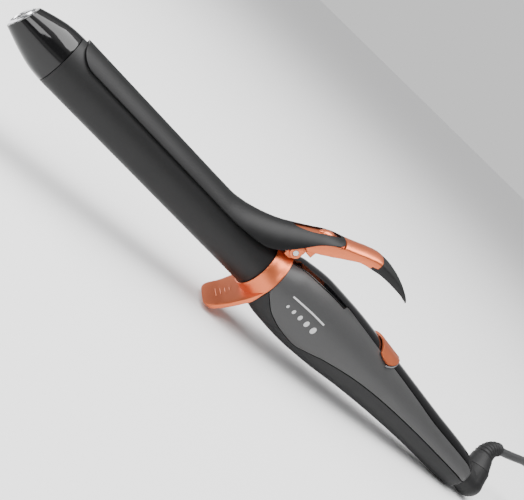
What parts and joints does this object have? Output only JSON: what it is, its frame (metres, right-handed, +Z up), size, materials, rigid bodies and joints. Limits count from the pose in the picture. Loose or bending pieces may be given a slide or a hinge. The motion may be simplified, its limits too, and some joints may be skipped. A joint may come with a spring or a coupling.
{
  "type": "curling iron",
  "caption": "Hair curling iron with a smooth barrel, a sprung clip and thumb lever, a stand tab at the collar, a power slider, a swivel cord exit and a mains cord put away in a tied hank.",
  "frame": {"origin": "on the ground, below the middle of the iron without its cord, as it stands on its stand tab and the handle end", "axes": "+X from the cool tip towards the cord end, +Z up, on the clip side, +Y across the iron, to the left of someone who looks along +X"},
  "size_m": [0.6824, 0.0548, 0.0802],
  "materials": {
    "coated_aluminium": "matte dark ceramic coating on aluminium",
    "gloss_black": "polished black",
    "copper_finish": "satin copper-coloured coating on heat-proof plastic",
    "panel_grey": "satin mid grey",
    "shell_grey": "satin dark grey",
    "chrome": "polished",
    "steel": "plain",
    "aluminium": "extruded",
    "brass": "plain",
    "board_tan": "laminate",
    "ceramic_white": "unglazed",
    "cord_grey": "satin dark grey flexible cord covering",
    "silicone_leads": "silicone-covered wire"
  },
  "bodies": {
    "handle": {"barrel_tube": "coated_aluminium", "cool_tip": "gloss_black", "tip_ring": "chrome", "tip_insert": "shell_grey", "tip_screw": "steel", "heater_shoe_upper": "aluminium", "heater_shoe_lower": "aluminium", "ptc_strip": "ceramic_white", "heater_lead_near": "silicone_leads", "heater_lead_far": "silicone_leads", "thermal_fuse": "steel", "barrel_bush": "ceramic_white", "collar_stand": "copper_finish", "hinge_pin": "steel", "clip_spring": "steel", "lower_shell": "shell_grey", "side_panel_near": "panel_grey", "side_panel_far": "panel_grey", "top_panel": "gloss_black", "slider_rim_near": "chrome", "slider_rim_far": "chrome", "circuit_board": "board_tan", "switch_body": "shell_grey", "capacitor": "shell_grey", "controller_chip": "gloss_black", "triac": "gloss_black", "handle_screw_1": "steel", "handle_screw_2": "steel", "handle_screw_3": "steel", "swivel_socket": "shell_grey", "contact_finger_near": "brass", "contact_finger_far": "brass", "cord_run": "cord_grey", "cord_tail": "cord_grey", "cord_hank": "cord_grey", "cord_tie": "shell_grey", "plug_body": "shell_grey", "plug_pin_near": "brass", "plug_pin_far": "brass"},
    "clip": {"clip_plate": "coated_aluminium", "lever_body": "copper_finish", "lever_cap": "copper_finish", "thumb_rest": "shell_grey"},
    "slider": {"power_slider": "copper_finish", "slider_carrier": "shell_grey"},
    "swivel": {"swivel_elbow": "shell_grey", "swivel_spindle": "brass", "strain_relief": "cord_grey"}
  },
  "joints": [
    {"name": "clip_hinge", "type": "hinge", "parent": "handle", "child": "clip", "pos_m": [-0.01398, 0, 0.0538], "axis": [0, 1, 0], "range_deg": [0, 18], "stiffness_Nm_per_rad": 0.12, "springref_deg": -28.65, "deforming": ["clip_spring"]},
    {"name": "power_slide", "type": "slide", "parent": "handle", "child": "slider", "axis": [-0.9784, 0, 0.2068], "range_m": [0, 0.003]},
    {"name": "cord_swivel", "type": "hinge", "parent": "handle", "child": "swivel", "pos_m": [0.181, 0, 0.00931], "axis": [0.9922, 0, -0.1248], "continuous": true}
  ]
}
